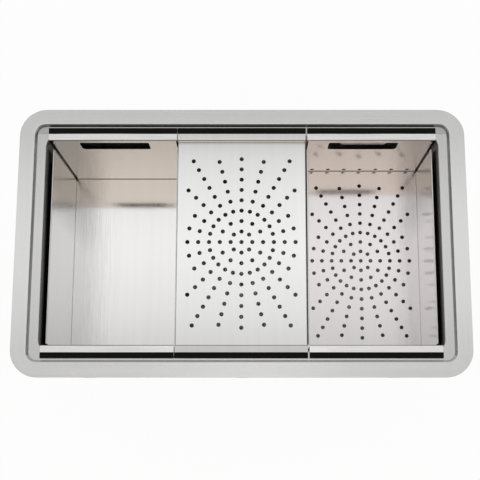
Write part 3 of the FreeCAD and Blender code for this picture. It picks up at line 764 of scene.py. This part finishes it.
def lay_floor(studio):
    """A pale floor under the sink that the camera and the steel see as white."""
    bpy.ops.object.select_all(action="DESELECT")
    bpy.ops.mesh.primitive_plane_add(size=studio.floor_size, location=(0, 0, cad_box[0].z))
    floor = bpy.context.object
    floor.name = "studio_floor"
    recipe = new_finish("Pale floor")
    tone = recipe.noise(recipe.vector(*recipe.place()), FLOOR_SCALE)
    pale = recipe.blend(tone, shaded(studio.floor_colour, FLOOR_DARK), studio.floor_colour)
    recipe.set(Base_Color=pale, Roughness=0.9, Specular_IOR_Level=0.1)
    camera_ray = recipe.node("LightPath", output="Is Camera Ray")
    glossy_ray = recipe.node("LightPath", output="Is Glossy Ray")
    white = recipe.node("Emission", values={"Color": WHITE, "Strength": 1.0})
    lit = Value(recipe, recipe.shader.outputs[0])
    seen = camera_ray.at_least(glossy_ray) * FLOOR_WHITE
    both = recipe.node("MixShader", values={0: seen, 1: lit, 2: white})
    recipe.feed(recipe.tree.nodes["Material Output"].inputs["Surface"], both)
    floor.data.materials.append(recipe.owner)


def light_room(studio):
    """A world with a ceiling that varies from front to back, and that the camera sees as white."""
    room = Recipe(bpy.data.worlds.new("Studio"))
    bpy.context.scene.world = room.owner
    room.tree.nodes.remove(room.tree.nodes["Background"])
    camera_ray = room.node("LightPath", output="Is Camera Ray")
    _, back, height = room.split(room.node("TexCoord", output="Generated"))
    slope = (back / height.at_least(LEAST_HEIGHT)).at_least(-1.0).at_most(1.0)
    stops = [(0.5 + at / 2, shaded(tint, level / SKY_FULL)) for at, level, tint in SKY]
    glow = room.node("ValToRGB", {"stops": stops}, {0: slope * 0.5 + 0.5})
    low_down = room.ease(back, FRONT, SIDES, studio.front, studio.sides)
    strength = room.ease(height, LOW, HIGH, low_down, 1.0) * SKY_FULL
    ceiling = room.node("Background", values={"Color": glow, "Strength": strength})
    backdrop = room.node("Background", values={"Color": WHITE, "Strength": 1.0})
    both = room.node("MixShader", values={0: camera_ray, 1: ceiling, 2: backdrop})
    room.feed(room.tree.nodes["World Output"].inputs["Surface"], both)


def soft_box(name, place, size, strength):
    """A lamp that shines straight down, with a given brightness over its whole size."""
    light = bpy.data.lights.new(name, "AREA")
    light.shape = "RECTANGLE"
    light.size, light.size_y = size
    light.energy = strength * size[0] * size[1] * math.pi
    box = bpy.data.objects.new(name, light)
    box.location = place
    box.visible_camera = False
    bpy.context.scene.collection.objects.link(box)


def stand_camera(studio):
    """The camera, at the photograph's viewing angle."""
    camera = bpy.data.cameras.new("Camera")
    camera.sensor_width = SENSOR_WIDTH
    camera.lens = studio.lens
    camera.shift_x, camera.shift_y = studio.shift_x, studio.shift_y
    camera.clip_start, camera.clip_end = CLIP_START, CLIP_END
    holder = bpy.data.objects.new("Camera", camera)
    holder.location = studio.place
    holder.rotation_euler = (studio.tilt, 0, 0)
    bpy.context.scene.collection.objects.link(holder)
    bpy.context.scene.camera = holder


class SINK_OT_stage(bpy.types.Operator):
    """Builds the pale floor, the room's light, the soft boxes and the camera"""

    bl_idname = "sink.stage"
    bl_label = "Build Studio"

    def execute(self, context):
        studio = context.scene.sink_studio
        lay_floor(studio)
        light_room(studio)
        soft_box("Overhead box", place=(0.0, 0.62, 2.5), size=(3.2, 1.3), strength=0.2)
        soft_box("Front fill", place=(0.0, -0.2, 2.5), size=(0.8, 0.6), strength=0.5)
        stand_camera(studio)
        context.scene.view_settings.view_transform = "Standard"
        return {"FINISHED"}


# ---------------------------------------------------------------- add-on


class SINK_PT_panel(bpy.types.Panel):
    """Lists the sink's sizes, colours and steps"""

    bl_idname = "SINK_PT_panel"
    bl_label = "Workstation Sink"
    bl_space_type = "VIEW_3D"
    bl_region_type = "UI"
    bl_category = "Sink"

    def draw(self, context):
        for group in (context.scene.sink_steel, context.scene.sink_small_parts, context.scene.sink_studio):
            box = self.layout.box()
            for name in group.__annotations__:
                box.prop(group, name)
        for step in STEPS:
            self.layout.operator(step.bl_idname)


STEPS = (
    SINK_OT_finish_rim,
    SINK_OT_finish_bowl,
    SINK_OT_finish_accessories,
    SINK_OT_finish_glides,
    SINK_OT_finish_clamps,
    SINK_OT_finish_pads,
    SINK_OT_finish_drain,
    SINK_OT_finish_basket,
    SINK_OT_stage,
)
CLASSES = (SteelSettings, SmallPartSettings, StudioSettings, *STEPS, SINK_PT_panel)


def register():
    for cls in CLASSES:
        bpy.utils.register_class(cls)
    bpy.types.Scene.sink_steel = PointerProperty(type=SteelSettings)
    bpy.types.Scene.sink_small_parts = PointerProperty(type=SmallPartSettings)
    bpy.types.Scene.sink_studio = PointerProperty(type=StudioSettings)


def unregister():
    del bpy.types.Scene.sink_steel
    del bpy.types.Scene.sink_small_parts
    del bpy.types.Scene.sink_studio
    for cls in reversed(CLASSES):
        bpy.utils.unregister_class(cls)


def main():
    register()
    bpy.ops.sink.finish_rim()
    bpy.ops.sink.finish_bowl()
    bpy.ops.sink.finish_accessories()
    bpy.ops.sink.finish_glides()
    bpy.ops.sink.finish_clamps()
    bpy.ops.sink.finish_pads()
    bpy.ops.sink.finish_drain()
    bpy.ops.sink.finish_basket()
    bpy.ops.sink.stage()


if __name__ == "__main__":
    main()
